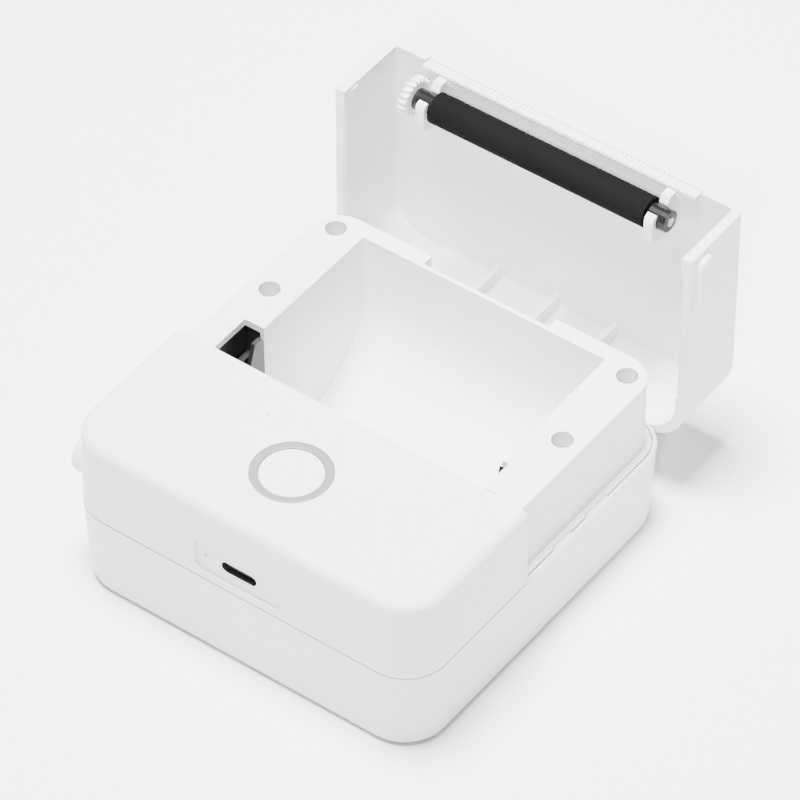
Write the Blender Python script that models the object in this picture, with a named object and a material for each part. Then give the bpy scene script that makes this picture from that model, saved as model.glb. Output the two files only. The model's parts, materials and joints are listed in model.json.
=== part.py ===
"""Portable thermal receipt printer with its paper lid open.

Run with: blender --background --python part.py
Lengths in this file are millimetres and are turned into metres when a mesh is made.
+Z is up, -Y is the front face with the charging port, and the origin is the centre
of the base's underside. The lid's pieces are modelled in the closed position under
an empty on the hinge axis, and that empty is then turned to the open position.
"""
import math

import bmesh
import bpy
from mathutils import Matrix, Vector

MM = 0.001

# ---------------------------------------------------------------- driving dimensions
WIDTH = 84.0
DEPTH = 85.0
HEIGHT = 38.9
PARTING_Z = 19.85
BLOCK_REAR_Y = -7.05
CORNER_R = 9.3
EDGE_R = 2.0
BASE_EDGE_R = 1.8
LOWER_DRAFT = 0.77
UPPER_DRAFT = 0.2
GAP = 0.3

SHELL_WALL = 2.2
SHELL_FLOOR = 1.6
BLOCK_WALL = 2.0

# frame that holds the paper bay
FRAME_HALF_X = 39.42
FRAME_REAR_Y = 40.0
FRAME_TOP_Z = 37.0
FRAME_CORNER_R = 6.6
FRAME_SKIRT = 1.5
DECK = 1.6
BAY_HALF_X = 29.0
BAY_REAR_Y = 36.45
BAY_R = 20.0
BAY_WALL = 0.9
BAY_AXIS_Z = 23.0
NOTCH_HALF_X = 15.0
RIM_REAR_Y = 37.35

FLANGE_HALF_X = 40.85
FLANGE_REAR_Y = 41.35
FLANGE_NOTCHES = ((3.0, 8.7), (13.6, 20.9))

# case screws
SCREW_X = 34.9
SCREW_YS = (13.8, 35.3)
SCREW_HOLE_R = 2.2
SCREW_SEAT_Z = 31.0

# lid, closed
LID_FRONT_Y = -6.8
LID_BOTTOM_Z = 20.2
LID_INNER_X = 39.84
LID_INNER_Y = 41.0
LID_INNER_Z = 37.3
HINGE_Y = 40.6
HINGE_Z = 15.8
KNUCKLE_R = 1.9
HINGE_PIN_R = 0.8
RIB_XS = (-14.1, 0.0, 14.1)
TEAR_HALF_X = 32.4
TEAR_BOTTOM_Z = 35.8
GRIP_MIDDLE = (2.2, 24.65)
GRIP_SIZE = (15.0, 4.7)
GRIP_RISE = 1.2
OPEN_ANGLE = 90.0

# platen roller, lid closed
PLATEN_Y = -2.72
PLATEN_Z = 31.0
PLATEN_R = 3.3
PLATEN_HALF_X = 25.4
SHAFT_R = 1.0
BUSH_R = 2.3
BUSH_OUT_X = 29.9
SADDLE_X = (26.1, 28.1)

# gear train, all with one tooth module
MODULE = 0.4
PLATEN_TEETH = 20
OUTPUT_TEETH = 16
PINION_TEETH = 10
WHEEL_TEETH = 28
SMALL_TEETH = 12
GEAR_PLANE_X = (-31.8, -30.1)
WHEEL_PLANE_X = (-35.2, -33.8)
MESH_PLAY = 0.06
OPEN_MESH_GAP = 0.3
MOTOR_Y = -15.5
MOTOR_Z = 26.0
MOTOR_R = 6.0
OUTPUT_ANGLE = 240.0

# front controls
RING_Y = -25.05
RING_R = 8.0
BUTTON_R = 6.4
BUTTON_TRAVEL = 0.5
PORT_Z = 25.2
RECESS_SIZE = (20.4, 8.2)
RECESS_Z = 25.55
RECESS_DEPTH = 0.6
LIGHT_X = -7.85
LIGHT_RISE = 0.55
RELEASE_Y = -32.8
RELEASE_Z = 25.4
RELEASE_R = 4.6
RELEASE_PROUD = 2.2

RELEASE_RIM = 0.7

# main board and the underside's label
BOARD_TOP_Z = 23.3
BOARD_T = 1.2
BOARD_SCREW = (29.5, -36.0)
SWITCH_TOP_Z = 28.4
LABEL = (-20.0, -34.0, 20.0, -14.0)

# print mechanism
HOOK_X = (28.95, 29.85)
HEAD_PIVOT = (-8.0, 18.6)

# ---------------------------------------------------------------- scene
for old in list(bpy.data.objects):
    bpy.data.objects.remove(old, do_unlink=True)


def new_collection(name):
    collection = bpy.data.collections.new(name)
    bpy.context.scene.collection.children.link(collection)
    return collection


PRINTER = new_collection("receipt_printer")
CUTTERS = new_collection("cutters")


def make_material(name, color, roughness, metallic=0.0):
    material = bpy.data.materials.new(name)
    material.use_nodes = True
    shader = material.node_tree.nodes["Principled BSDF"]
    shader.inputs["Base Color"].default_value = (*color, 1.0)
    shader.inputs["Roughness"].default_value = roughness
    shader.inputs["Metallic"].default_value = metallic
    material.diffuse_color = (*color, 1.0)
    return material


WHITE = make_material("white_shell", (0.80, 0.80, 0.80), 0.42)
GREY = make_material("grey_ring", (0.45, 0.45, 0.46), 0.40)
BLACK = make_material("black_plastic", (0.012, 0.012, 0.013), 0.25)
RUBBER = make_material("platen_rubber", (0.02, 0.02, 0.021), 0.75)
STEEL = make_material("steel", (0.55, 0.56, 0.58), 0.28, 1.0)
GEAR_WHITE = make_material("gear_white", (0.76, 0.76, 0.74), 0.45)
BOARD_GREEN = make_material("board_green", (0.02, 0.16, 0.07), 0.45)
CERAMIC = make_material("head_ceramic", (0.25, 0.22, 0.18), 0.30)
CELL_BLUE = make_material("battery_wrap", (0.05, 0.12, 0.30), 0.35)
LED_CLEAR = make_material("led_lens", (0.70, 0.80, 0.72), 0.15)
LABEL_GREY = make_material("label_film", (0.62, 0.62, 0.62), 0.35)
FLEX_TAN = make_material("flex_film", (0.45, 0.25, 0.06), 0.35)
ALUMINIUM = make_material("aluminium", (0.65, 0.66, 0.68), 0.35, 1.0)


# ---------------------------------------------------------------- solids, in millimetres
def block(low, high):
    """A box between two corners."""
    bm = bmesh.new()
    bmesh.ops.create_cube(bm, size=1.0)
    low, high = Vector(low), Vector(high)
    size = high - low
    bmesh.ops.scale(bm, vec=size, verts=bm.verts)
    bmesh.ops.translate(bm, vec=(low + high) / 2, verts=bm.verts)
    return bm


def round_edges(bm, chosen, radius, segments):
    """Round every edge whose two ends satisfy chosen(a, b)."""
    edges = [e for e in bm.edges if chosen(e.verts[0].co, e.verts[1].co)]
    bmesh.ops.bevel(bm, geom=edges, offset=radius, offset_type="OFFSET", segments=segments,
                    profile=0.5, affect="EDGES", clamp_overlap=True)
    return bm


def upright(a, b):
    return abs(a.z - b.z) > 1.0 and (a.xy - b.xy).length < 1.5


def taper(bm, z, grow_x, grow_y, y_from=-1000.0):
    """Move the vertices at one height in or out, for mould draft."""
    for v in bm.verts:
        if abs(v.co.z - z) < 0.01:
            v.co.x += grow_x * math.copysign(1, v.co.x)
            if v.co.y > y_from:
                v.co.y += grow_y * math.copysign(1, v.co.y)
    return bm


def rod(radius, axis, low, high, at=(0.0, 0.0), segments=32, tip_radius=None):
    """A cylinder or cone along axis 'X', 'Y' or 'Z' from low to high."""
    bm = bmesh.new()
    end = radius if tip_radius is None else tip_radius
    bmesh.ops.create_cone(bm, cap_ends=True, segments=segments, radius1=radius, radius2=end,
                          depth=high - low)
    middle = (low + high) / 2
    if axis == "X":
        turn = Matrix.Rotation(math.radians(90), 4, "Y")
        move = Vector((middle, at[0], at[1]))
    elif axis == "Y":
        turn = Matrix.Rotation(math.radians(-90), 4, "X")
        move = Vector((at[0], middle, at[1]))
    else:
        turn = Matrix.Identity(4)
        move = Vector((at[0], at[1], middle))
    bmesh.ops.transform(bm, matrix=Matrix.Translation(move) @ turn, verts=bm.verts)
    return bm


def prism(outline, axis, low, high):
    """An extruded flat outline; outline points are (y, z) for X, (x, z) for Y, (x, y) for Z."""
    bm = bmesh.new()
    spots = {"X": lambda p, s: (s, p[0], p[1]),
             "Y": lambda p, s: (p[0], s, p[1]),
             "Z": lambda p, s: (p[0], p[1], s)}[axis]
    face = bm.faces.new([bm.verts.new(spots(p, low)) for p in outline])
    swept = bmesh.ops.extrude_face_region(bm, geom=[face])
    moved = [v for v in swept["geom"] if isinstance(v, bmesh.types.BMVert)]
    bmesh.ops.translate(bm, vec=Vector(spots((0, 0), high)) - Vector(spots((0, 0), low)), verts=moved)
    bmesh.ops.recalc_face_normals(bm, faces=bm.faces)
    return bm


def arc(centre, radius, start, end, steps):
    """Points along an arc, angles in degrees."""
    points = []
    for i in range(steps + 1):
        angle = math.radians(start + (end - start) * i / steps)
        points.append((centre[0] + radius * math.cos(angle), centre[1] + radius * math.sin(angle)))
    return points


def stadium(centre, width, height, steps=8):
    """Outline of a slot with round ends, wide along its first coordinate."""
    r = height / 2
    half = width / 2 - r
    return (arc((centre[0] + half, centre[1]), r, -90, 90, steps)
            + arc((centre[0] - half, centre[1]), r, 90, 270, steps))


def round_rectangle(centre, width, height, r, steps=6):
    x, y = width / 2 - r, height / 2 - r
    points = []
    for sx, sy, start in ((1, 1, 0), (-1, 1, 90), (-1, -1, 180), (1, -1, 270)):
        points += arc((centre[0] + sx * x, centre[1] + sy * y), r, start, start + 90, steps)
    return points


def gear_outline(centre, teeth, phase):
    """Straight-sided teeth with play, one of them pointing at the phase angle in degrees."""
    pitch_r = MODULE * teeth / 2
    root_r = pitch_r - 1.25 * MODULE
    tip_r = pitch_r + 0.9 * MODULE
    step = 360.0 / teeth
    corners = ((-0.27, root_r), (-0.10, tip_r), (0.10, tip_r), (0.27, root_r))
    points = []
    for i in range(teeth):
        for share, radius in corners:
            angle = math.radians(phase + step * (i + share))
            points.append((centre[0] + radius * math.cos(angle), centre[1] + radius * math.sin(angle)))
    return points


def tip_radius(teeth):
    return MODULE * (teeth / 2 + 0.9)


def mesh_distance(teeth_a, teeth_b):
    return MODULE * (teeth_a + teeth_b) / 2 + MESH_PLAY


# ---------------------------------------------------------------- objects
PIVOT_POINTS = {}


def make_pivot(name, point, parent=None):
    """An empty on a joint's axis; point is given in closed-lid coordinates."""
    pivot = bpy.data.objects.new(name, None)
    pivot.empty_display_size = 0.01
    PRINTER.objects.link(pivot)
    PIVOT_POINTS[name] = Vector(point)
    attach(pivot, Vector(point), parent)
    return pivot


def attach(obj, point, parent):
    if parent is None:
        obj.location = point * MM
    else:
        obj.parent = parent
        obj.location = (point - PIVOT_POINTS[parent.name]) * MM


def to_object(name, bm, collection, origin, parent):
    """Turn millimetre geometry into an object whose own origin lies at the given point."""
    bmesh.ops.translate(bm, vec=-origin, verts=bm.verts)
    bmesh.ops.scale(bm, vec=(MM, MM, MM), verts=bm.verts)
    mesh = bpy.data.meshes.new(name)
    bm.to_mesh(mesh)
    bm.free()
    mesh.shade_smooth()
    mesh.set_sharp_from_angle(angle=math.radians(35))
    obj = bpy.data.objects.new(name, mesh)
    collection.objects.link(obj)
    attach(obj, origin, parent)
    return obj


def middle_of(bm):
    low = Vector([min(v.co[i] for v in bm.verts) for i in range(3)])
    high = Vector([max(v.co[i] for v in bm.verts) for i in range(3)])
    return (low + high) / 2


def piece(name, bm, material, parent=None, origin=None):
    """A visible part of the printer, one node."""
    origin = middle_of(bm) if origin is None else Vector(origin)
    obj = to_object(name, bm, PRINTER, origin, parent)
    obj.data.materials.append(material)
    return obj


def combine(obj, bm, operation):
    """Join or cut a piece with a tool solid that follows the piece's parent."""
    name = f"{obj.name}_{operation.lower()}_{len(obj.modifiers)}"
    tool = to_object(name, bm, CUTTERS, middle_of(bm), obj.parent)
    tool.hide_render = True
    tool.display_type = "WIRE"
    step = obj.modifiers.new(name, "BOOLEAN")
    step.operation = operation
    step.object = tool
    step.solver = "EXACT"


def join(obj, *solids):
    for bm in solids:
        combine(obj, bm, "UNION")


def cut(obj, *solids):
    for bm in solids:
        combine(obj, bm, "DIFFERENCE")


def coil(name, material, centre, axis, start, end, radius, wire_r, turns):
    """A compression spring as one welded wire along X or Y."""
    curve = bpy.data.curves.new(name, "CURVE")
    curve.dimensions = "3D"
    curve.bevel_depth = wire_r * MM
    curve.bevel_resolution = 2
    curve.use_fill_caps = True
    steps = turns * 12
    spline = curve.splines.new("POLY")
    spline.points.add(steps)
    for i in range(steps + 1):
        angle = math.tau * i / 12
        along = start + (end - start) * i / steps
        across = (centre[0] + radius * math.cos(angle), centre[1] + radius * math.sin(angle))
        place = (along, *across) if axis == "X" else (across[0], along, across[1])
        spline.points[i].co = (*(Vector(place) * MM), 1.0)
    return wire_piece(name, curve, material)


def lead(name, material, route, radius):
    """A wire through a few points, smoothed, as one closed tube."""
    curve = bpy.data.curves.new(name, "CURVE")
    curve.dimensions = "3D"
    curve.bevel_depth = radius * MM
    curve.bevel_resolution = 2
    curve.use_fill_caps = True
    spots = [Vector(p) for p in route]
    spots = [spots[0] * 2 - spots[1]] + spots + [spots[-1] * 2 - spots[-2]]
    smooth = []
    for a, b, c, d in zip(spots, spots[1:], spots[2:], spots[3:]):
        for i in range(6):
            t = i / 6
            smooth.append(0.5 * (2 * b + (c - a) * t + (2 * a - 5 * b + 4 * c - d) * t ** 2
                                 + (3 * b - a - 3 * c + d) * t ** 3))
    smooth.append(spots[-2])
    spline = curve.splines.new("POLY")
    spline.points.add(len(smooth) - 1)
    for point, spot in zip(spline.points, smooth):
        point.co = (*(spot * MM), 1.0)
    return wire_piece(name, curve, material)


def wire_piece(name, curve, material):
    guide = bpy.data.objects.new(name + "_curve", curve)
    PRINTER.objects.link(guide)
    evaluated = guide.evaluated_get(bpy.context.evaluated_depsgraph_get())
    bm = bmesh.new()
    bm.from_mesh(evaluated.to_mesh())
    evaluated.to_mesh_clear()
    bpy.data.objects.remove(guide, do_unlink=True)
    bmesh.ops.remove_doubles(bm, verts=bm.verts, dist=0.000001)
    bmesh.ops.recalc_face_normals(bm, faces=bm.faces)
    bmesh.ops.scale(bm, vec=(1 / MM, 1 / MM, 1 / MM), verts=bm.verts)
    return piece(name, bm, material)


# ---------------------------------------------------------------- gear centres, lid closed
def step_from(point, distance, degrees):
    angle = math.radians(degrees)
    return (point[0] + distance * math.cos(angle), point[1] + distance * math.sin(angle))


def bearing(a, b):
    return math.degrees(math.atan2(b[1] - a[1], b[0] - a[0]))


PLATEN = (PLATEN_Y, PLATEN_Z)
MOTOR = (MOTOR_Y, MOTOR_Z)
OUTPUT = step_from(PLATEN, tip_radius(PLATEN_TEETH) + tip_radius(OUTPUT_TEETH) + OPEN_MESH_GAP,
                   OUTPUT_ANGLE)
TO_WHEEL = mesh_distance(PINION_TEETH, WHEEL_TEETH)
TO_OUTPUT = mesh_distance(SMALL_TEETH, OUTPUT_TEETH)
SPAN = math.dist(MOTOR, OUTPUT)
WHEEL_TURN = math.degrees(math.acos((TO_WHEEL ** 2 + SPAN ** 2 - TO_OUTPUT ** 2) / (2 * TO_WHEEL * SPAN)))
WHEEL = step_from(MOTOR, TO_WHEEL, bearing(MOTOR, OUTPUT) - WHEEL_TURN)


def gear(centre, teeth, plane, phase):
    """A spur gear across the X range of one gear plane."""
    return prism(gear_outline(centre, teeth, phase), "X", plane[0], plane[1])


# ---------------------------------------------------------------- housing
def make_lower_shell():
    outer = block((-WIDTH / 2, -DEPTH / 2, 0), (WIDTH / 2, DEPTH / 2, PARTING_Z))
    taper(outer, 0.0, -LOWER_DRAFT, -LOWER_DRAFT)
    round_edges(outer, upright, CORNER_R, 8)
    round_edges(outer, lambda a, b: a.z < 0.01 and b.z < 0.01, BASE_EDGE_R, 3)
    round_edges(outer, lambda a, b: a.z > PARTING_Z - 0.01 and b.z > PARTING_Z - 0.01, 0.35, 1)
    shell = piece("lower_shell", outer, WHITE, origin=(0, 0, 0))
    inside = Vector((WIDTH / 2 - SHELL_WALL, DEPTH / 2 - SHELL_WALL))
    cavity = block((-inside.x, -inside.y, SHELL_FLOOR), (inside.x, inside.y, HEIGHT))
    round_edges(cavity, upright, CORNER_R - SHELL_WALL, 8)
    cut(shell, cavity)
    rebate = block((-FLANGE_HALF_X - GAP, BLOCK_REAR_Y, PARTING_Z - 0.95 - GAP),
                   (FLANGE_HALF_X + GAP, FLANGE_REAR_Y + GAP, HEIGHT))
    round_edges(rebate, lambda a, b: upright(a, b) and a.y > 0, CORNER_R - 1.15 + GAP, 8)
    cut(shell, rebate)
    for x in (-SCREW_X, SCREW_X):
        for y in SCREW_YS:
            join(shell, rod(3.0, "Z", SHELL_FLOOR - 0.4, 18.3, (x, y), 20))
            cut(shell, rod(1.25, "Z", 7.0, 19.0, (x, y), 16))
    for x in (-BOARD_SCREW[0], BOARD_SCREW[0]):
        join(shell, rod(2.4, "Z", SHELL_FLOOR - 0.4, BOARD_TOP_Z - BOARD_T - GAP, (x, BOARD_SCREW[1]), 20))
        cut(shell, rod(1.1, "Z", 12.0, 26.0, (x, BOARD_SCREW[1]), 16))
    for side in (-1, 1):
        lug = prism(arc((HINGE_Y, HINGE_Z), 2.1, -180, 0, 8) + [(HINGE_Y + 2.1, HINGE_Z + 1.6),
                    (HINGE_Y - 2.1, HINGE_Z + 1.6)], "X", *sorted((side * 14.6, side * 19.3)))
        join(shell, lug)
        cut(shell, rod(HINGE_PIN_R + 0.1, "X", *sorted((side * 13.0, side * 19.8)), (HINGE_Y, HINGE_Z), 20))
    cut(shell, block((-NOTCH_HALF_X, 37.9, 13.2), (NOTCH_HALF_X, DEPTH, HEIGHT)))
    cut(shell, block((LABEL[0] - 0.5, LABEL[1] - 0.5, -1.0), (LABEL[2] + 0.5, LABEL[3] + 0.5, 0.45)))
    return shell




def make_front_shell():
    outer = block((-WIDTH / 2, -DEPTH / 2, PARTING_Z + GAP), (WIDTH / 2, BLOCK_REAR_Y, HEIGHT))
    taper(outer, HEIGHT, -UPPER_DRAFT, 0.0)
    for v in outer.verts:
        if v.co.z > HEIGHT - 0.01 and v.co.y < -30:
            v.co.y += UPPER_DRAFT
    round_edges(outer, lambda a, b: upright(a, b) and a.y < -30, CORNER_R, 8)
    round_edges(outer, lambda a, b: min(a.z, b.z) > HEIGHT - 0.01 and min(a.y, b.y) < BLOCK_REAR_Y - 0.01,
                EDGE_R, 4)
    shell = piece("front_shell", outer, WHITE)
    inside_x, inside_y = WIDTH / 2 - BLOCK_WALL, -DEPTH / 2 + BLOCK_WALL
    cavity = block((-inside_x, inside_y, PARTING_Z - 2), (inside_x, BLOCK_REAR_Y - 1.5, HEIGHT - BLOCK_WALL))
    round_edges(cavity, lambda a, b: upright(a, b) and a.y < -30, CORNER_R - BLOCK_WALL, 8)
    cut(shell, cavity)
    cut(shell, block((-35.6, BLOCK_REAR_Y - 3, PARTING_Z - 2), (34.2, BLOCK_REAR_Y + 3, HEIGHT - BLOCK_WALL)))
    join(shell, block((-33.2, -28.5, BOARD_TOP_Z + 0.5), (-32.0, -23.5, HEIGHT - 1.0)))
    cut(shell, rod(RING_R + 0.2, "Z", HEIGHT - 4, HEIGHT + 2, (0, RING_Y), 64))
    cut(shell, rod(0.25, "Z", HEIGHT - 4, HEIGHT + 2, (-13.0, -15.5), 12))
    face_y = -DEPTH / 2
    recess_outline = round_rectangle((0, RECESS_Z), *RECESS_SIZE, 2.2)
    recess = prism(recess_outline, "Y", face_y - 2, face_y + 0.1 + RECESS_DEPTH)
    cut(shell, recess)
    cut(shell, prism(stadium((0, PORT_Z), 9.5, 3.7), "Y", face_y - 2, face_y + 4))
    cut(shell, rod(0.5, "Y", face_y - 2, face_y + 4, (LIGHT_X, PORT_Z + LIGHT_RISE), 12))
    cut(shell, rod(RELEASE_R + 0.25, "X", -WIDTH / 2 - 2, -inside_x + 1, (RELEASE_Y, RELEASE_Z), 40))
    cut(shell, rod(RELEASE_R + 1.3, "X", -inside_x, -38.0, (RELEASE_Y, RELEASE_Z), 40))
    cut(shell, block((-inside_x + 1, BLOCK_REAR_Y - 3, 23.6), (-34.0, BLOCK_REAR_Y + 3, 28.6)))
    return shell


def make_inner_frame():
    outer = block((-FRAME_HALF_X, LID_FRONT_Y + 0.05, 18.6), (FRAME_HALF_X, FRAME_REAR_Y, FRAME_TOP_Z))
    round_edges(outer, lambda a, b: upright(a, b) and a.y > 0, FRAME_CORNER_R, 8)
    frame = piece("inner_frame", outer, WHITE)
    join(frame, make_flange())
    for side in (-1, 1):
        for low_y, high_y in FLANGE_NOTCHES:
            x_range = sorted((side * (FLANGE_HALF_X - 0.5), side * WIDTH / 2))
            cut(frame, block((x_range[0], low_y, PARTING_Z - 0.45), (x_range[1], high_y, PARTING_Z + 1)))
    hollow = block((-FRAME_HALF_X + FRAME_SKIRT, LID_FRONT_Y - 3, 15),
                   (FRAME_HALF_X - FRAME_SKIRT, FRAME_REAR_Y - FRAME_SKIRT, FRAME_TOP_Z - DECK))
    round_edges(hollow, lambda a, b: upright(a, b) and a.y > 0, FRAME_CORNER_R - FRAME_SKIRT, 8)
    cut(frame, hollow)
    bay_mid = (BAY_REAR_Y - BAY_R, BAY_AXIS_Z)
    wide = BAY_HALF_X + BAY_WALL
    join(frame, block((-wide, LID_FRONT_Y + 0.05, BAY_AXIS_Z), (wide, RIM_REAR_Y, FRAME_TOP_Z - 0.4)))
    trough = arc(bay_mid, BAY_R + BAY_WALL, 180, 360, 36)
    trough_r = BAY_R + BAY_WALL
    trough += [(bay_mid[0] + trough_r, BAY_AXIS_Z + 1), (bay_mid[0] - trough_r, BAY_AXIS_Z + 1)]
    join(frame, prism(trough, "X", -wide, wide))
    for x in (-SCREW_X, SCREW_X):
        for y in SCREW_YS:
            join(frame, rod(3.4, "Z", 19.0, FRAME_TOP_Z - 0.4, (x, y), 24))
    cut(frame, block((-BAY_HALF_X, LID_FRONT_Y - 3, BAY_AXIS_Z), (BAY_HALF_X, BAY_REAR_Y, HEIGHT)))
    cut(frame, rod(BAY_R, "X", -BAY_HALF_X, BAY_HALF_X, bay_mid, 72))
    for x in (-SCREW_X, SCREW_X):
        for y in SCREW_YS:
            cut(frame, rod(SCREW_HOLE_R, "Z", SCREW_SEAT_Z, HEIGHT, (x, y), 32))
            cut(frame, rod(1.25, "Z", 15.0, SCREW_SEAT_Z + 1, (x, y), 16))
    cut(frame, block((-NOTCH_HALF_X, RIM_REAR_Y + 0.03, 10), (NOTCH_HALF_X, DEPTH, HEIGHT)))
    # slots that the platen's ends and the gear drop into, and the space under the deck for the mechanism
    cut(frame, block((-33.6, -5.4, 24.2), (-BAY_HALF_X + 0.05, 4.3, HEIGHT)))
    cut(frame, block((BAY_HALF_X - 0.05, -5.4, 24.2), (30.4, 2.5, HEIGHT)))
    cut(frame, block((-33.6, -8.0, 17.0), (-BAY_HALF_X + 0.05, -4.9, FRAME_TOP_Z - DECK)))
    cut(frame, block((BAY_HALF_X - 0.05, -8.0, 17.0), (31.0, -4.9, FRAME_TOP_Z - DECK)))
    cut(frame, block((-WIDTH / 2, -8.0, 23.6), (-36.5, -2.6, 28.6)))
    # room for the tear bar when the lid is shut
    cut(frame, block((-TEAR_HALF_X - 0.5, -8.0, TEAR_BOTTOM_Z - 0.5), (TEAR_HALF_X + 0.5, -5.4, HEIGHT)))
    return frame


def make_flange():
    """The foot around the frame that rests in the base's rebate, as one solid to join to it."""
    flange = block((-FLANGE_HALF_X, LID_FRONT_Y + 0.05, PARTING_Z - 0.95),
                   (FLANGE_HALF_X, FLANGE_REAR_Y, PARTING_Z + 0.05))
    round_edges(flange, lambda a, b: abs(a.z - b.z) > 0.5 and a.y > 0, CORNER_R - 1.15, 8)
    return flange




def make_case_screws():
    for i, (x, y) in enumerate((x, y) for x in (-SCREW_X, SCREW_X) for y in SCREW_YS):
        machine_screw(f"case_screw_{i + 1}", (x, y), 9.0, SCREW_SEAT_Z + GAP, 1.9, 1.4, 1.0)


def machine_screw(name, spot, tip_z, head_z, head_r, head_h, shank_r):
    """A pan-head screw with a cross recess, its head sitting on head_z."""
    head = rod(head_r, "Z", head_z, head_z + head_h, spot, 24)
    round_edges(head, lambda a, b: min(a.z, b.z) > head_z + head_h - 0.01, head_h * 0.35, 2)
    screw = piece(name, head, STEEL)
    join(screw, rod(shank_r, "Z", tip_z, head_z + head_h / 2, spot, 16))
    slot = head_r * 0.6
    top = head_z + head_h
    x, y = spot
    cross = block((x - slot, y - 0.2, top - 0.7), (x + slot, y + 0.2, top + 1))
    cut(screw, cross, block((x - 0.2, y - slot, top - 0.7), (x + 0.2, y + slot, top + 1)))
    return screw


# ---------------------------------------------------------------- controls and electronics
def make_controls():
    ring = piece("button_ring", rod(RING_R, "Z", HEIGHT - 2.4, HEIGHT - 0.15, (0, RING_Y), 64), GREY)
    join(ring, rod(RING_R + 1.2, "Z", HEIGHT - 4.2, HEIGHT - BLOCK_WALL - GAP, (0, RING_Y), 64))
    cut(ring, rod(BUTTON_R + 0.2, "Z", HEIGHT - 8, HEIGHT + 2, (0, RING_Y), 64))
    cap = rod(BUTTON_R, "Z", HEIGHT - 3.2, HEIGHT - 0.05, (0, RING_Y), 64)
    round_edges(cap, lambda a, b: min(a.z, b.z) > HEIGHT - 0.1, 0.4, 3)
    button = piece("power_button", cap, WHITE, origin=(0, RING_Y, HEIGHT))
    join(button, rod(1.6, "Z", SWITCH_TOP_Z + BUTTON_TRAVEL + 0.1, HEIGHT - 3.0, (0, RING_Y), 20))
    switch_body = block((-2.9, RING_Y - 2.9, BOARD_TOP_Z + GAP), (2.9, RING_Y + 2.9, 27.9))
    switch = piece("power_switch", switch_body, BLACK)
    join(switch, rod(1.6, "Z", 27.0, SWITCH_TOP_Z, (0, RING_Y), 20))




def make_board():
    low_z = BOARD_TOP_Z - BOARD_T
    board = piece("main_board", block((-31.6, -39.8, low_z), (33.0, -22.1, BOARD_TOP_Z)), BOARD_GREEN)
    for x in (-BOARD_SCREW[0], BOARD_SCREW[0]):
        cut(board, rod(1.1, "Z", low_z - 1, BOARD_TOP_Z + 1, (x, BOARD_SCREW[1]), 16))
    machine_screw("board_screw_1", (-BOARD_SCREW[0], BOARD_SCREW[1]), 14.0, BOARD_TOP_Z + GAP, 1.6, 1.1, 0.8)
    machine_screw("board_screw_2", BOARD_SCREW, 14.0, BOARD_TOP_Z + GAP, 1.6, 1.1, 0.8)
    face_y = -DEPTH / 2
    port_body = prism(stadium((0, PORT_Z), 8.94, 3.16), "Y", face_y + 0.8, face_y + 8.2)
    port = piece("usb_port_shell", port_body, STEEL)
    cut(port, prism(stadium((0, PORT_Z), 8.34, 2.56), "Y", face_y, face_y + 7.6))
    tongue = block((-3.35, face_y + 1.6, PORT_Z - 0.35), (3.35, face_y + 7.3, PORT_Z + 0.35))
    piece("usb_port_tongue", tongue, BLACK)
    light_at = (LIGHT_X, PORT_Z + LIGHT_RISE)
    piece("status_light_pipe", rod(0.38, "Y", face_y + 0.75, face_y + 5.5, light_at, 12), LED_CLEAR)
    led = block((LIGHT_X - 0.8, face_y + 5.8, BOARD_TOP_Z + GAP), (LIGHT_X + 0.8, face_y + 6.6, 26.6))
    piece("status_led", led, LED_CLEAR)
    piece("processor_chip", block((12.0, -35.0, BOARD_TOP_Z + GAP), (19.0, -28.0, 24.8)), BLACK)
    piece("printer_connector", block((8.0, -25.6, BOARD_TOP_Z + GAP), (24.0, -22.6, 25.4)), LABEL_GREY)
    cell = block((-25.5, -38.4, SHELL_FLOOR + GAP), (25.5, -14.4, 12.2))
    round_edges(cell, lambda a, b: abs(a.x - b.x) > 10, 2.5, 4)
    piece("battery", cell, CELL_BLUE)
    lead("battery_lead", BLACK, ((26.1, -20.0, 8.0), (27.4, -20.0, 9.0), (28.2, -21.0, 14.0),
                                 (28.0, -23.5, 17.5), (27.4, -25.5, 19.8), (27.0, -26.0, 21.2)), 0.6)
    piece("rating_label", block((LABEL[0], LABEL[1], 0.1), (LABEL[2], LABEL[3], 0.25)), LABEL_GREY)


# ---------------------------------------------------------------- print mechanism


def hook_plate(side):
    """A side plate with an open hook for the platen's bush, its mouth slanted along the lid's swing."""
    back_y = 4.0 if side < 0 else 2.2
    top_z = 34.9 if side < 0 else 36.2
    mouth_y = PLATEN_Y + 3.75 + 0.36 * (top_z - 34.0)
    outline = [(-5.2, 13.6), (-5.2, 24.9), (back_y, 24.9), (back_y, top_z - 1.0)]
    outline += [(back_y - 0.5, top_z), (mouth_y, top_z)]
    outline += arc((PLATEN_Y, PLATEN_Z), BUSH_R + 0.3, -20, -180, 12)
    outline += [(PLATEN_Y - BUSH_R - 0.3, 32.8), (-6.2, 33.8), (-7.3, 33.4), (-8.6, 32.0)]
    if side < 0:
        reach_y = MOTOR_Y - MOTOR_R
        outline += [(reach_y, 32.0), (reach_y, 19.5), (-13.5, 13.6)]
    else:
        outline += [(-13.5, 28.0), (-13.5, 13.6)]
    return prism(outline, "X", *sorted((side * HOOK_X[0], side * HOOK_X[1])))


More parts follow.
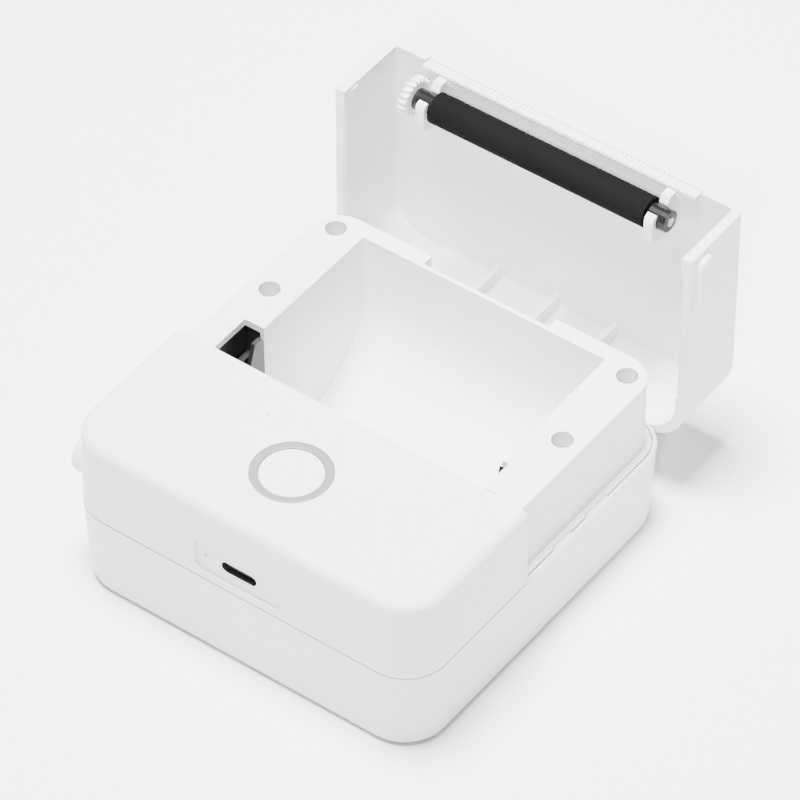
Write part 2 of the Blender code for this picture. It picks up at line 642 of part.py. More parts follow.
def make_mechanism():
    beam = block((-33.4, -13.5, 13.6), (HOOK_X[1], -9.2, 16.4))
    frame = piece("mechanism_frame", beam, BLACK)
    join(frame, hook_plate(-1), hook_plate(1))
    carrier = [(-13.5, 13.6), (-3.4, 13.6), (5.3, 20.0), (5.3, 28.6), (-13.5, 28.6)]
    join(frame, prism(carrier, "X", -33.4, -32.1))
    # shield that closes the gear bay under the deck
    join(frame, block((-34.4, 4.6, 21.5), (-30.2, 5.3, 35.1)), block((-34.4, -5.2, 27.0), (-33.7, 5.3, 35.1)))
    join(frame, block((-6.0, -14.2, 14.0), (26.0, -13.2, 33.4)))
    cut(frame, rod(0.95, "X", -34.5, -28.0, WHEEL, 20))
    cut(frame, rod(0.85, "X", -34.5, -28.0, OUTPUT, 20))
    cut(frame, rod(1.2, "X", -31.0, -28.0, MOTOR, 20))

    motor = piece("feed_motor", rod(MOTOR_R, "X", -28.2, -11.5, MOTOR, 48), ALUMINIUM)
    join(motor, rod(2.2, "X", -28.6, -28.0, MOTOR, 24))
    shaft = piece("motor_pinion", gear(MOTOR, PINION_TEETH, WHEEL_PLANE_X, bearing(MOTOR, WHEEL)), GEAR_WHITE,
                  origin=(WHEEL_PLANE_X[0], *MOTOR))
    join(shaft, rod(0.75, "X", WHEEL_PLANE_X[0] - 0.2, -28.9, MOTOR, 16))

    gap_phase = bearing(WHEEL, MOTOR) + 180.0 / WHEEL_TEETH
    wheel = piece("compound_gear", gear(WHEEL, WHEEL_TEETH, WHEEL_PLANE_X, gap_phase), GEAR_WHITE,
                  origin=(WHEEL_PLANE_X[0], *WHEEL))
    join(wheel, gear(WHEEL, SMALL_TEETH, GEAR_PLANE_X, bearing(WHEEL, OUTPUT)))
    join(wheel, rod(0.8, "X", -34.5, -28.5, WHEEL, 20))
    out_phase = bearing(OUTPUT, WHEEL) + 180.0 / OUTPUT_TEETH
    output = piece("output_gear", gear(OUTPUT, OUTPUT_TEETH, GEAR_PLANE_X, out_phase), GEAR_WHITE,
                   origin=(GEAR_PLANE_X[0], *OUTPUT))
    cut(output, rod(0.8, "X", -33.0, -29.0, OUTPUT, 20))
    piece("output_gear_pin", rod(0.7, "X", -33.3, -29.0, OUTPUT, 20), STEEL)
    piece("paper_sensor", block((4.0, -6.5, 18.0), (8.6, -4.9, 21.8)), BLACK)


def make_print_head():
    axis = (0, *HEAD_PIVOT)
    piece("head_heatsink", block((-24.5, -9.0, 17.4), (24.5, -7.0, 33.2)), ALUMINIUM, origin=axis)
    piece("print_head", block((-24.5, -6.7, 24.0), (24.5, -6.25, 33.9)), CERAMIC, origin=axis)
    for i, x in enumerate((-2.0, 18.0)):
        coil(f"head_spring_{i + 1}", STEEL, (x, 29.0), "Y", -12.8, -9.7, 1.5, 0.25, 4)


def make_release():
    face_x = -WIDTH / 2
    cap = rod(RELEASE_R, "X", face_x - RELEASE_PROUD, -39.4, (RELEASE_Y, RELEASE_Z), 40)
    round_edges(cap, lambda a, b: max(a.x, b.x) < face_x - RELEASE_PROUD + 0.01, 0.8, 4)
    button = piece("release_button", cap, WHITE, origin=(face_x, RELEASE_Y, RELEASE_Z))
    join(button, rod(RELEASE_R + RELEASE_RIM, "X", -39.6, -38.7, (RELEASE_Y, RELEASE_Z), 40))
    slide = piece("release_slide", block((-38.4, -34.0, 24.9), (-37.0, -3.2, 26.9)), BLACK)
    join(slide, prism([(-38.0, -6.2), (-39.2, -5.6), (-39.2, -3.2), (-38.0, -3.2)], "Z", 24.9, 26.9))
    coil("release_spring", STEEL, (-26.0, 25.9 + 0.6), "X", -36.7, -33.5, 1.5, 0.22, 4)


# ---------------------------------------------------------------- lid
def make_lid(pivot):
    outer = block((-WIDTH / 2, LID_FRONT_Y, LID_BOTTOM_Z), (WIDTH / 2, DEPTH / 2, HEIGHT))
    taper(outer, HEIGHT, -UPPER_DRAFT, 0.0)
    round_edges(outer, lambda a, b: upright(a, b) and a.y > 0, CORNER_R, 8)
    round_edges(outer, lambda a, b: min(a.z, b.z) > HEIGHT - 0.01 and max(a.y, b.y) > LID_FRONT_Y + 0.01,
                EDGE_R, 4)
    lid = piece("lid_shell", outer, WHITE, pivot, origin=(0, HINGE_Y, HINGE_Z))
    cavity = block((-LID_INNER_X, LID_FRONT_Y - 2, LID_BOTTOM_Z - 2), (LID_INNER_X, LID_INNER_Y, LID_INNER_Z))
    round_edges(cavity, lambda a, b: upright(a, b) and a.y > 0, CORNER_R - 1.5, 8)
    round_edges(cavity, lambda a, b: min(a.z, b.z) > LID_INNER_Z - 0.01 and max(a.y, b.y) > 0, 0.6, 2)
    cut(lid, cavity)
    # relief under the rear wall so that it swings clear of the base's rim
    relief = prism([(LID_INNER_Y - 0.2, LID_BOTTOM_Z - 0.5), (LID_INNER_Y + 0.8, LID_BOTTOM_Z - 0.5),
                    (LID_INNER_Y - 0.2, LID_BOTTOM_Z + 0.9)], "X", -33.0, 33.0)
    cut(lid, relief)
    mouth_x = TEAR_HALF_X + GAP
    cut(lid, block((-mouth_x, LID_FRONT_Y - 1, LID_BOTTOM_Z), (mouth_x, -5.4, HEIGHT + 1)))
    join(lid, block((-29.6, -5.4, TEAR_BOTTOM_Z), (29.6, -4.5, LID_INNER_Z + 0.5)))
    for side in (-1, 1):
        join(lid, saddle(side))
        grip_x = side * (WIDTH / 2 + GRIP_RISE)
        grip = prism(round_rectangle(GRIP_MIDDLE, *GRIP_SIZE, 1.9), "X", *sorted((side * 41.2, grip_x)))
        round_edges(grip, lambda a, b: abs(a.x - grip_x) < 0.01 and abs(b.x - grip_x) < 0.01,
                    GRIP_RISE * 0.85, 3)
        join(lid, grip)
        chamfer = [(side * (LID_INNER_X - 0.3), LID_BOTTOM_Z - 0.3),
                   (side * (LID_INNER_X + 0.9), LID_BOTTOM_Z - 0.3),
                   (side * (LID_INNER_X - 0.3), LID_BOTTOM_Z + 0.9)]
        cut(lid, prism(chamfer, "Y", -2.2, 30.0))
    tongue = [(LID_INNER_Y, LID_BOTTOM_Z + 1.5), (LID_INNER_Y, HINGE_Z + KNUCKLE_R - 0.4)]
    tongue += arc((HINGE_Y, HINGE_Z), KNUCKLE_R, 90, 360, 16)
    tongue += [(DEPTH / 2, LID_BOTTOM_Z + 1.5)]
    join(lid, prism(tongue, "X", -NOTCH_HALF_X + GAP, NOTCH_HALF_X - GAP))
    for x in RIB_XS:
        rib = [(LID_INNER_Y + 0.3, 17.4), (39.9, 17.4), (37.9, 21.5), (37.9, LID_INNER_Z + 0.3),
               (LID_INNER_Y + 0.3, LID_INNER_Z + 0.3)]
        join(lid, prism(rib, "X", x - 0.65, x + 0.65))
    cut(lid, rod(HINGE_PIN_R + 0.1, "X", -16.0, 16.0, (HINGE_Y, HINGE_Z), 20))
    join(lid, block((-LID_INNER_X - 0.3, -5.9, 22.4), (-LID_INNER_X + 0.3, -3.4, 24.5)))
    return lid


def saddle(side):
    """A hanging plate with a C-shaped opening that snaps over the platen's bush."""
    mouth = math.degrees(math.asin(1.7 / (BUSH_R + 0.12)))
    outline = [(2.5, LID_INNER_Z + 0.3), (2.5, 29.6)]
    outline += arc((0.5, 29.6), 2.0, 0, -90, 4)[1:]
    outline += [(-2.0, 27.6)] + arc((-3.4, 29.0), 1.4, -90, -180, 4)
    outline += arc((PLATEN_Y, PLATEN_Z), BUSH_R + 0.12, 180 + mouth, 540 - mouth, 24)
    outline += [(-4.9, PLATEN_Z + 1.7), (-6.3, PLATEN_Z + 2.5), (-6.3, TEAR_BOTTOM_Z - GAP)]
    outline += [(-5.2, TEAR_BOTTOM_Z - GAP), (-5.2, LID_INNER_Z + 0.3)]
    return prism(outline, "X", *sorted((side * SADDLE_X[0], side * SADDLE_X[1])))


def make_tear_bar(pivot):
    bar = block((-TEAR_HALF_X, -6.7, TEAR_BOTTOM_Z), (TEAR_HALF_X, -5.7, HEIGHT - 0.3))
    piece("tear_bar", bar, WHITE, pivot)


def tube(outer_r, inner_r, low, high, at, segments=32):
    """A round tube along X, swept from a profile by a full turn."""
    bm = bmesh.new()
    corners = ((low, inner_r), (high, inner_r), (high, outer_r), (low, outer_r))
    verts = [bm.verts.new((x, at[0] + r, at[1])) for x, r in corners]
    edges = [bm.edges.new((verts[i], verts[(i + 1) % 4])) for i in range(4)]
    bmesh.ops.spin(bm, geom=verts + edges, cent=(0, *at), axis=(1, 0, 0), angle=math.tau,
                   steps=segments, use_merge=True)
    bmesh.ops.remove_doubles(bm, verts=bm.verts, dist=0.001)
    bmesh.ops.recalc_face_normals(bm, faces=bm.faces)
    return bm


def make_platen(lid_pivot, platen_pivot):
    centre = (0, *PLATEN)
    piece("platen_shaft", rod(SHAFT_R, "X", -32.0, 30.1, PLATEN, 24), STEEL, platen_pivot, centre)
    piece("platen_rubber", tube(PLATEN_R, SHAFT_R + 0.2, -PLATEN_HALF_X, PLATEN_HALF_X, PLATEN, 40),
          RUBBER, platen_pivot, centre)
    teeth = gear(PLATEN, PLATEN_TEETH, GEAR_PLANE_X, 0.0)
    wheel = piece("platen_gear", teeth, GEAR_WHITE, platen_pivot, centre)
    cut(wheel, rod(SHAFT_R + 0.1, "X", -33.0, -29.0, PLATEN, 24))
    for side, name in ((-1, "platen_bush_left"), (1, "platen_bush_right")):
        low, high = sorted((side * 25.75, side * BUSH_OUT_X))
        piece(name, tube(BUSH_R, SHAFT_R + 0.1, low, high, PLATEN, 32), BLACK, lid_pivot)


# ---------------------------------------------------------------- assembly
def build():
    make_lower_shell()
    make_front_shell()
    make_inner_frame()
    make_case_screws()
    make_controls()
    make_board()
    make_mechanism()
    make_print_head()
    make_release()
    piece("hinge_pin", rod(HINGE_PIN_R, "X", -19.2, 19.2, (HINGE_Y, HINGE_Z), 24), STEEL)
    lid_pivot = make_pivot("lid_pivot", (0, HINGE_Y, HINGE_Z))
    platen_pivot = make_pivot("platen_pivot", (0, *PLATEN), lid_pivot)
    make_lid(lid_pivot)
    make_tear_bar(lid_pivot)
    make_platen(lid_pivot, platen_pivot)
    lid_pivot.rotation_euler.x = math.radians(-OPEN_ANGLE)


build()
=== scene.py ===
"""Looks for the receipt printer: camera, floor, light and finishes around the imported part."""
import json
import math

import bmesh
import bpy
from mathutils import Euler, Matrix, Vector


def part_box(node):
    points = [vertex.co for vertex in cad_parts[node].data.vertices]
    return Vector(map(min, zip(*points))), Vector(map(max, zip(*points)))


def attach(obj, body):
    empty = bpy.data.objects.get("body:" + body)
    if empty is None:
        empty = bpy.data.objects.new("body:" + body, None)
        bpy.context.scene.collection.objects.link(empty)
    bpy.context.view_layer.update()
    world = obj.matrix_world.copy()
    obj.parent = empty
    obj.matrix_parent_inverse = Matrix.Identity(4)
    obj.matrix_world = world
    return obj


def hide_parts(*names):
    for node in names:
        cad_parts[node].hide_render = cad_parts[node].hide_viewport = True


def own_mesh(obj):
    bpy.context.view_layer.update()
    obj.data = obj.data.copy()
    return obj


MM = 0.001

# noise, in cells per metre, and the depth of brushed lines, in metres
MOTTLE_SCALE = 55.0
GRAIN_SCALE = 2600.0
BRUSH_SCALE = 90.0
BRUSH_DEPTH = 0.000004

# grey band round the power key
BAND_GAP = 0.06 * MM
BAND_WIDTH = 1.73 * MM
BAND_RISE = 0.10 * MM
BAND_ROLL = 0.12 * MM
BAND_DEPTH = 2.2 * MM
BAND_SEGMENTS = 96

# tear strip; a tooth's outline is given in parts of the pitch
TOOTH_PITCH = 0.98 * MM
TOOTH_OUTLINE = ((0.30, "valley"), (0.36, "crest"), (0.63, "tip"), (0.92, "crest"), (0.98, "valley"))
TOOTH_LENGTH = 0.50 * MM
TIP_RISE = 0.03 * MM
GROOVE_DEPTH = 0.15 * MM
PIT_DEPTH = 0.62 * MM

# bead in the joint between base and front block
SEAM_Z = 20.0 * MM
FRONT_CORNER_R = 9.3 * MM
BEAD_INSET = 0.10 * MM
BEAD_WIDTH = 0.9 * MM
BEAD_HALF_HEIGHT = 0.13 * MM
BEAD_STEPS = 12

# marks on the lid's inner face with the lid open: across, height and radius, in mm
EJECTOR_MARKS = ((-16.0, 52.0, 1.6), (16.0, 52.0, 1.6), (-28.0, 34.0, 1.6), (28.0, 34.0, 1.6))

# coil behind the release key
COIL_WIRE_R = 0.22 * MM
COIL_TURNS = 6
COIL_STEPS_PER_TURN = 28
COIL_SIDES = 8
COIL_FLAT_TURNS = 0.75

# stage, in metres and watts
FLOOR_HALF_WIDTH = 6.0
WORLD_STRENGTH = 0.12
TOP_LIGHT_PLACE = (-0.08, -0.05, 1.25)
TOP_LIGHT_TARGET = (0.0, 0.01, 0.03)
TOP_LIGHT_SIZE = 0.5
TOP_LIGHT_WATTS = 98.0
CARD_PLACE = (0.42, -0.68, 0.74)
CARD_TARGET = (0.0, 0.055, 0.040)
CARD_WATTS = 85.0
CARD_CONE_DEG = 7.6
CARD_BLEND = 0.7
CARD_SOFTNESS = 0.05

# camera: its place, its turn about +Z from a straight front view, and its tilt down, without roll
CAMERA_PLACE = (0.46654, -0.62322, 0.80739)
CAMERA_TURN_DEG = 36.414
CAMERA_DOWN_DEG = 44.661
CAMERA_LENS = 258.5
CAMERA_SENSOR = 36.0

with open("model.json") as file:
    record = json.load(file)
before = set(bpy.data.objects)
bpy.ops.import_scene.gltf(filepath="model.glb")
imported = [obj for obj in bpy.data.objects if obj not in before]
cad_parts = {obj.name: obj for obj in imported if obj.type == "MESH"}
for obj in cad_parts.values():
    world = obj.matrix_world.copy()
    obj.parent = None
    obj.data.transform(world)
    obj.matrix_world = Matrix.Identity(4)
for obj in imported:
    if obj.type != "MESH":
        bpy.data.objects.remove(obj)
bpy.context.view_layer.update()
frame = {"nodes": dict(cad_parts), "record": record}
nodes = frame["nodes"]
SCENE = bpy.context.scene


# ---------------------------------------------------------------- materials
def new_material(name, color, roughness, metallic=0.0):
    material = bpy.data.materials.new(name)
    material.use_nodes = True
    shader = material.node_tree.nodes["Principled BSDF"]
    shader.inputs["Base Color"].default_value = (*color, 1.0)
    shader.inputs["Roughness"].default_value = roughness
    shader.inputs["Metallic"].default_value = metallic
    return material, material.node_tree, shader


def add_node(tree, kind, inputs=None):
    node = tree.nodes.new(kind)
    for key, value in (inputs or {}).items():
        node.inputs[key].default_value = value
    return node


def object_noise(tree, scale, detail=3.0, stretch=(1, 1, 1)):
    """Noise in the object's own coordinates, scale in cells per metre."""
    place = add_node(tree, "ShaderNodeTexCoord")
    mapping = add_node(tree, "ShaderNodeMapping", {"Scale": stretch})
    noise = add_node(tree, "ShaderNodeTexNoise", {"Scale": scale, "Detail": detail})
    tree.links.new(place.outputs["Object"], mapping.inputs["Vector"])
    tree.links.new(mapping.outputs["Vector"], noise.inputs["Vector"])
    return noise


def vary_color(tree, shader, noise, low, high):
    ramp = add_node(tree, "ShaderNodeValToRGB")
    ramp.color_ramp.elements[0].position = 0.35
    ramp.color_ramp.elements[0].color = (*low, 1)
    ramp.color_ramp.elements[1].position = 0.65
    ramp.color_ramp.elements[1].color = (*high, 1)
    tree.links.new(noise.outputs["Fac"], ramp.inputs["Fac"])
    tree.links.new(ramp.outputs["Color"], shader.inputs["Base Color"])


def vary_roughness(tree, shader, noise, low, high):
    spread = add_node(tree, "ShaderNodeMapRange", {"To Min": low, "To Max": high})
    tree.links.new(noise.outputs["Fac"], spread.inputs["Value"])
    tree.links.new(spread.outputs["Result"], shader.inputs["Roughness"])


def add_bump(tree, shader, height, distance):
    bump = add_node(tree, "ShaderNodeBump", {"Distance": distance, "Strength": 1.0})
    tree.links.new(height, bump.inputs["Height"])
    tree.links.new(bump.outputs["Normal"], shader.inputs["Normal"])


def moulded(name, color, roughness, grain, spread=0.012, specular=None):
    """Injection-moulded plastic: spark-eroded grain, slight mottling in gloss and tone."""
    material, tree, shader = new_material(name, color, roughness)
    if specular is not None:
        shader.inputs["Specular IOR Level"].default_value = specular
    broad = object_noise(tree, MOTTLE_SCALE, 2.0)
    low = tuple(max(0.0, c - spread) for c in color)
    high = tuple(min(1.0, c + spread * 0.4) for c in color)
    vary_color(tree, shader, broad, low, high)
    fine = object_noise(tree, GRAIN_SCALE, 2.0)
    vary_roughness(tree, shader, fine, roughness - 0.05, roughness + 0.06)
    add_bump(tree, shader, fine.outputs["Fac"], grain)
    return material


def brushed(name, color, roughness):
    """Metal with fine lines along the object's own X."""
    material, tree, shader = new_material(name, color, roughness, 1.0)
    lines = object_noise(tree, BRUSH_SCALE, 4.0, (1, 60, 60))
    vary_roughness(tree, shader, lines, roughness - 0.08, roughness + 0.12)
    vary_color(tree, shader, lines, tuple(c * 0.9 for c in color), color)
    add_bump(tree, shader, lines.outputs["Fac"], BRUSH_DEPTH)
    return material


def make_lens():
    material, tree, shader = new_material("light_pipe", (0.80, 0.84, 0.80), 0.15)
    shader.inputs["Transmission Weight"].default_value = 0.4
    noise = object_noise(tree, 900.0)
    vary_roughness(tree, shader, noise, 0.12, 0.22)
    return material


WHITE = moulded("white_shell", (0.79, 0.79, 0.785), 0.42, 0.000006)
WHITE_INSIDE = moulded("white_inside", (0.80, 0.80, 0.795), 0.50, 0.000005)
GREY = moulded("grey_ring", (0.20, 0.20, 0.205), 0.45, 0.000006)
BLACK = moulded("black_plastic", (0.010, 0.010, 0.011), 0.50, 0.000005, 0.003)
GLOSS_BLACK = moulded("gloss_black", (0.008, 0.008, 0.0085), 0.22, 0.000001, 0.002, 0.35)
RUBBER = moulded("platen_rubber_black", (0.0028, 0.0028, 0.0030), 0.88, 0.000010, 0.0006, 0.10)
GEAR = moulded("gear_acetal", (0.84, 0.84, 0.82), 0.40, 0.000003)
BOARD = moulded("board_green", (0.012, 0.11, 0.045), 0.35, 0.000004, 0.004)
CERAMIC = moulded("head_ceramic", (0.55, 0.50, 0.42), 0.20, 0.000001)
CELL = moulded("cell_wrap", (0.06, 0.16, 0.42), 0.35, 0.000004)
LABEL = moulded("label_paper", (0.66, 0.66, 0.65), 0.60, 0.000004)
STEEL = brushed("steel", (0.62, 0.62, 0.64), 0.30)
ALUMINIUM = brushed("aluminium", (0.72, 0.72, 0.74), 0.36)
LENS = make_lens()
# painted shade on the pit floors of the tear strip's grooves: near-black pits by the teeth, lighter grey
# pits in the lower row
PAINTED_PIT_SHADE = moulded("painted_pit_shade", (0.05, 0.05, 0.05), 0.70, 0.000003, 0.01)
PAINTED_PIT_SHADE_SOFT = moulded("painted_pit_shade_soft", (0.22, 0.22, 0.22), 0.70, 0.000003, 0.02)

FINISH = {
    "white_plastic": WHITE,
    "grey_plastic": GREY,
    "black_plastic": BLACK,
    "rubber": RUBBER,
    "steel": STEEL,
    "gear_plastic": GEAR,
    "board": BOARD,
    "ceramic": CERAMIC,
    "cell_wrap": CELL,
    "lens": LENS,
    "label": LABEL,
    "aluminium": ALUMINIUM,
}
SLOT_OF = {entry["node"]: entry["material_slot"] for entry in frame["record"]["subparts"]}


def set_material(obj, material):
    obj.data.materials.clear()
    obj.data.materials.append(material)


def finish_nodes():
    for name, obj in nodes.items():
        set_material(obj, FINISH[SLOT_OF[name]])
    set_material(nodes["inner_frame"], WHITE_INSIDE)
    for name in ("platen_bush_left", "platen_bush_right"):
        set_material(nodes[name], GLOSS_BLACK)


# ---------------------------------------------------------------- detail pieces
def add_piece(name, bm, materials, body, replaced=(), smooth_angle=None):
    """Turn a bmesh into a piece that moves with a body and takes a material slot."""
    bmesh.ops.remove_doubles(bm, verts=bm.verts, dist=1e-7)
    bmesh.ops.recalc_face_normals(bm, faces=bm.faces)
    mesh = bpy.data.meshes.new(name)
    bm.to_mesh(mesh)
    bm.free()
    for material in materials:
        mesh.materials.append(material)
    if smooth_angle is not None:
        mesh.shade_smooth()
        mesh.set_sharp_from_angle(angle=math.radians(smooth_angle))
    obj = bpy.data.objects.new(name, mesh)
    SCENE.collection.objects.link(obj)
    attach(obj, body)
    if replaced:
        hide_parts(*replaced)
    return obj


def join_loops(bm, first, second):
    """Quads between two closed loops of verts."""
    for j in range(len(first)):
        k = (j + 1) % len(first)
        bm.faces.new((first[j], first[k], second[k], second[j]))


def lathe(profile, centre, segments, turn=None):
    """Revolve a closed (radius, height) profile about +Z, optionally turned, then placed."""
    bm = bmesh.new()
    rings = []
    for i in range(segments):
        angle = math.tau * i / segments
        rings.append([bm.verts.new((r * math.cos(angle), r * math.sin(angle), h)) for r, h in profile])
    for i, ring in enumerate(rings):
        following = rings[(i + 1) % segments]
        for j in range(len(profile)):
            k = (j + 1) % len(profile)
            bm.faces.new((ring[j], following[j], following[k], ring[k]))
    place = Matrix.Translation(centre)
    if turn is not None:
        place = place @ turn
    bmesh.ops.transform(bm, matrix=place, verts=bm.verts)
    return bm


def make_ring_band():
    """Grey band round the power key, level with the key and rolled at both edges."""
    low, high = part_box("button_ring")
    cap_low, cap_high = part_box("power_button")
    centre = ((low.x + high.x) / 2, (low.y + high.y) / 2, 0.0)
    inner = (cap_high.x - cap_low.x) / 2 + BAND_GAP
    outer = inner + BAND_WIDTH
    top = high.z + BAND_RISE
    foot, shoulder, bevel = top - BAND_DEPTH, top - BAND_ROLL, BAND_ROLL * 0.3
    profile = [
        (inner, foot), (inner, shoulder), (inner + bevel, top - bevel), (inner + BAND_ROLL, top),
        (outer - BAND_ROLL, top), (outer - bevel, top - bevel), (outer, shoulder), (outer, foot),
    ]
    bm = lathe(profile, centre, BAND_SEGMENTS)
    add_piece("ring_band", bm, [GREY], "base", ["button_ring"], 40)


def add_grid(bm, rows):
    """Quads for a sheet given as rows of points; returns the rows of verts."""
    grid = [[bm.verts.new(point) for point in row] for row in rows]
    for a, b in zip(grid, grid[1:]):
        for i in range(len(a) - 1):
            bm.faces.new((a[i], a[i + 1], b[i + 1], b[i]))
    return grid


def make_tear_strip():
    """Ribbed strip with a row of small teeth: paper is pulled against it to tear."""
    low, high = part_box("tear_bar")
    count = int((high.x - low.x) / TOOTH_PITCH)
    start = (low.x + high.x - count * TOOTH_PITCH) / 2
    base_y, root_y, tip_y = low.y, high.y - TOOTH_LENGTH, high.y
    crest, pit = high.z, high.z - PIT_DEPTH
    heights = {"edge": crest, "crest": crest, "tip": crest + TIP_RISE, "valley": high.z - GROOVE_DEPTH}
    columns = [(low.x, "edge")]
    for i in range(count):
        x = start + i * TOOTH_PITCH
        columns += [(x + part * TOOTH_PITCH, kind) for part, kind in TOOTH_OUTLINE]
    columns.append((high.x, "edge"))
    # rows along the strip: y, how far the row drops, and whether its grooves are pits
    sections = (
        (base_y, 0.25 * MM, True),
        (base_y + 0.22 * MM, 0.0, True),
        (base_y + 0.40 * MM, 0.0, False),
        ((base_y + root_y) / 2, 0.0, False),
        (root_y, 0.0, False),
        (root_y + 0.10 * MM, 0.0, True),
        (tip_y, 0.10 * MM, True),
    )
    rows = [[(x, y, pit if pitted and kind == "valley" else heights[kind] - drop) for x, kind in columns]
            for y, drop, pitted in sections]
    bm = bmesh.new()
    grid = add_grid(bm, rows)
    under = add_grid(bm, [[(x, y, low.z) for x, _ in columns] for y in (base_y, tip_y)])
    for upper, lower in ((grid[0], under[0]), (grid[-1], under[1])):
        for i in range(len(upper) - 1):
            bm.faces.new((upper[i], upper[i + 1], lower[i + 1], lower[i]))
    for i in (0, -1):
        bm.faces.new([row[i] for row in grid] + [under[1][i], under[0][i]])
    # pit floors get painted shade: the dark material behind the teeth, the lighter grey material in the
    # row near the strip's base
    slack = 0.01 * MM
    for face in bm.faces:
        zs = [v.co.z for v in face.verts]
        if max(zs) < pit + slack and min(zs) > pit - slack:
            face.material_index = 1 if face.calc_center_median().y > root_y else 2
    add_piece("tear_strip", bm, [WHITE, PAINTED_PIT_SHADE, PAINTED_PIT_SHADE_SOFT], "lid", ["tear_bar"])


def make_seam_bead():
    """Rounded edge of the base's lip where it shows in the joint under the front shell."""
    low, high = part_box("front_shell")
    half_x, front_y, rear_y = high.x - BEAD_INSET, low.y + BEAD_INSET, high.y - 0.4 * MM
    radius = FRONT_CORNER_R - BEAD_INSET

    def outline(offset):
        """Path round the front of the block, open at the rear."""
        r = radius - offset
        points = [(half_x - offset, rear_y)]
        for side, first in ((1, 0.0), (-1, -90.0)):
            centre = (side * (half_x - radius), front_y + radius)
            for i in range(BEAD_STEPS + 1):
                angle = math.radians(first - 90.0 * i / BEAD_STEPS)
                points.append((centre[0] + r * math.cos(angle), centre[1] + r * math.sin(angle)))
        points.append((-half_x + offset, rear_y))
        return points

    height, edge = BEAD_HALF_HEIGHT, 0.05 * MM
    shape = [(edge, -height), (0.0, -height * 0.5), (0.0, height * 0.5), (edge, height),
             (BEAD_WIDTH, height), (BEAD_WIDTH, -height)]
    bm = bmesh.new()
    rails = [[bm.verts.new((x, y, SEAM_Z + dz)) for x, y in outline(offset)] for offset, dz in shape]
    for i, rail in enumerate(rails):
        following = rails[(i + 1) % len(rails)]
        for j in range(len(rail) - 1):
            bm.faces.new((rail[j], rail[j + 1], following[j + 1], following[j]))
    for j in (0, -1):
        bm.faces.new([rail[j] for rail in rails])
    add_piece("seam_bead", bm, [WHITE], "base", (), 40)


def stadium_points(length, height, count=12):
    """Outline of a slot with round ends, in X and Z about its middle."""
    r, half = height / 2, (length - height) / 2
    points = []
    for side, first in ((1, -90), (-1, 90)):
        for i in range(count + 1):
            angle = math.radians(first + 180 * i / count)
            points.append((side * half + r * math.cos(angle), r * math.sin(angle)))
    return points


def make_port_bezel():
    """Sloped lead-in round the charging socket that closes the gap between socket and shell."""
    low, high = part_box("usb_port_shell")
    middle = ((low.x + high.x) / 2, (low.z + high.z) / 2)
    mouth_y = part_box("front_shell")[0].y + 0.62 * MM
    length, height = high.x - low.x, high.z - low.z
    inner_y, end_y = low.y - 0.05 * MM, low.y + 1.2 * MM
    # each loop: how much larger than the socket, in mm, and its y
    sections = ((0.54, mouth_y), (0.50, mouth_y), (0.10, inner_y), (0.10, end_y), (0.54, end_y))
    bm = bmesh.new()
    loops = []
    for grow, y in sections:
        outline = stadium_points(length + grow * MM, height + grow * MM)
        loops.append([bm.verts.new((middle[0] + x, y, middle[1] + z)) for x, z in outline])
    for i, loop in enumerate(loops):
        join_loops(bm, loop, loops[(i + 1) % len(loops)])
    add_piece("port_bezel", bm, [WHITE], "base", (), 40)


def make_ejector_marks():
    """Shallow witness rings that the mould's ejector pins leave on the inside of the lid."""
    plate_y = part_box("lid_shell")[1].y - 1.6 * MM
    turn = Matrix.Rotation(math.radians(90), 4, "X")
    for i, (x, z, radius) in enumerate(EJECTOR_MARKS):
        r = radius * MM
        profile = [(r - 0.22 * MM, -0.05 * MM), (r - 0.16 * MM, 0.05 * MM), (r - 0.08 * MM, 0.07 * MM),
                   (r, 0.05 * MM), (r + 0.06 * MM, -0.05 * MM)]
        bm = lathe(profile, (x * MM, plate_y, z * MM), 40, turn)
        add_piece(f"ejector_mark_{i + 1}", bm, [WHITE], "lid", (), 40)


def make_return_spring():
    """Coil behind the release key, built on its own mesh data; it is not made to shorten here."""
    low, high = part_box("release_spring")
    wire = COIL_WIRE_R
    axis = Vector((0.0, (low.y + high.y) / 2, (low.z + high.z) / 2))
    radius = (high.y - low.y) / 2 - wire
    open_turns = COIL_TURNS - 2 * COIL_FLAT_TURNS
    rings = []
    bm = bmesh.new()
    for i in range(COIL_TURNS * COIL_STEPS_PER_TURN + 1):
        turn = i / COIL_STEPS_PER_TURN
        # the end turns lie flat, the ones between are open
        along = min(max(turn - COIL_FLAT_TURNS, 0.0), open_turns) / open_turns
        x = low.x + wire + (high.x - low.x - 2 * wire) * along
        angle = math.tau * turn
        out = Vector((0.0, math.cos(angle), math.sin(angle)))
        centre = Vector((x, axis.y, axis.z)) + out * radius
        ring = []
        for j in range(COIL_SIDES):
            spin = math.tau * j / COIL_SIDES
            rim = out * math.cos(spin) + Vector((1, 0, 0)) * math.sin(spin)
            ring.append(bm.verts.new(centre + rim * wire))
        rings.append(ring)
    for a, b in zip(rings, rings[1:]):
        join_loops(bm, a, b)
    bm.faces.new(rings[0])
    bm.faces.new(rings[-1])
    spring = add_piece("return_spring", bm, [STEEL], "base", ["release_spring"], 60)
    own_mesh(spring)


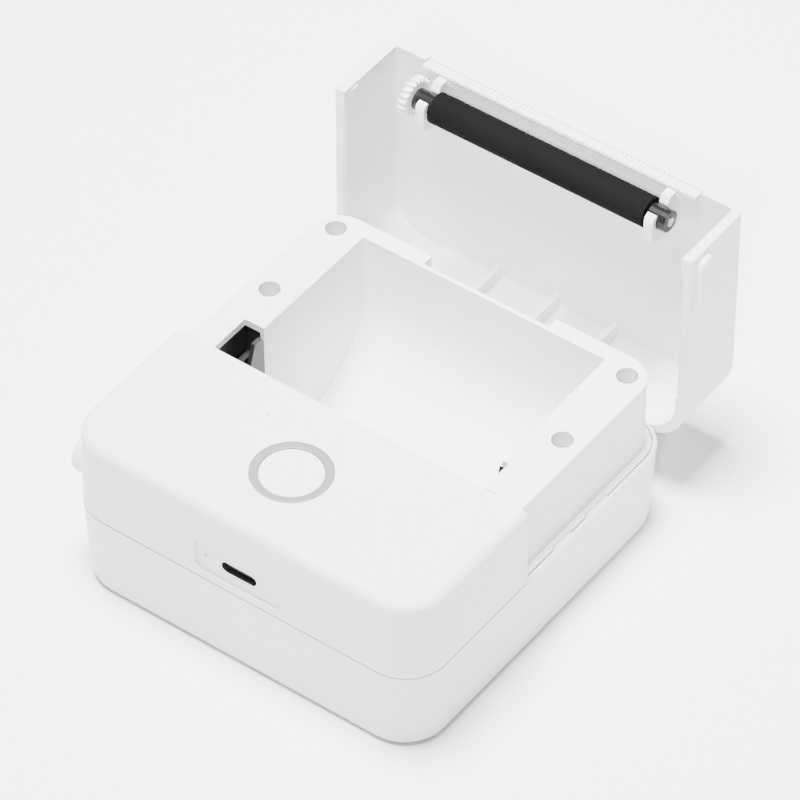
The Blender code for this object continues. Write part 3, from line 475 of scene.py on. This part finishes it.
# ---------------------------------------------------------------- stage
def make_floor():
    bm = bmesh.new()
    bmesh.ops.create_grid(bm, x_segments=2, y_segments=2, size=FLOOR_HALF_WIDTH)
    mesh = bpy.data.meshes.new("floor")
    bm.to_mesh(mesh)
    bm.free()
    floor = bpy.data.objects.new("floor", mesh)
    SCENE.collection.objects.link(floor)
    material, tree, shader = new_material("floor_paper", (0.96, 0.96, 0.96), 0.75)
    noise = object_noise(tree, 3.0)
    vary_color(tree, shader, noise, (0.955, 0.955, 0.955), (0.965, 0.965, 0.965))
    floor.data.materials.append(material)


def add_lamp(name, kind, place, target, watts):
    """Add a light at a place, pointing at a target; returns its data."""
    data = bpy.data.lights.new(name, kind)
    data.energy = watts
    lamp = bpy.data.objects.new(name, data)
    lamp.location = place
    lamp.rotation_euler = (Vector(target) - Vector(place)).to_track_quat("-Z", "Y").to_euler()
    SCENE.collection.objects.link(lamp)
    return data


def make_lights():
    world = bpy.data.worlds.new("studio")
    world.use_nodes = True
    background = world.node_tree.nodes["Background"]
    background.inputs["Color"].default_value = (1, 1, 1, 1)
    background.inputs["Strength"].default_value = WORLD_STRENGTH
    SCENE.world = world
    top = add_lamp("top", "AREA", TOP_LIGHT_PLACE, TOP_LIGHT_TARGET, TOP_LIGHT_WATTS)
    top.shape = "DISK"
    top.size = TOP_LIGHT_SIZE
    # a pool of light in the paper bay and the open lid, as from a reflector card
    card = add_lamp("card", "SPOT", CARD_PLACE, CARD_TARGET, CARD_WATTS)
    card.spot_size = math.radians(CARD_CONE_DEG)
    card.spot_blend = CARD_BLEND
    card.shadow_soft_size = CARD_SOFTNESS


def make_camera():
    data = bpy.data.cameras.new("camera")
    data.sensor_width = CAMERA_SENSOR
    data.lens = CAMERA_LENS
    data.clip_start = 0.01
    data.clip_end = 20.0
    camera = bpy.data.objects.new("camera", data)
    turn = Euler((math.radians(90.0 - CAMERA_DOWN_DEG), 0.0, math.radians(CAMERA_TURN_DEG)))
    camera.matrix_world = Matrix.Translation(CAMERA_PLACE) @ turn.to_matrix().to_4x4()
    SCENE.collection.objects.link(camera)
    SCENE.camera = camera


finish_nodes()
make_ring_band()
make_tear_strip()
make_seam_bead()
make_port_bezel()
make_ejector_marks()
make_return_spring()

make_camera()
make_floor()
make_lights()
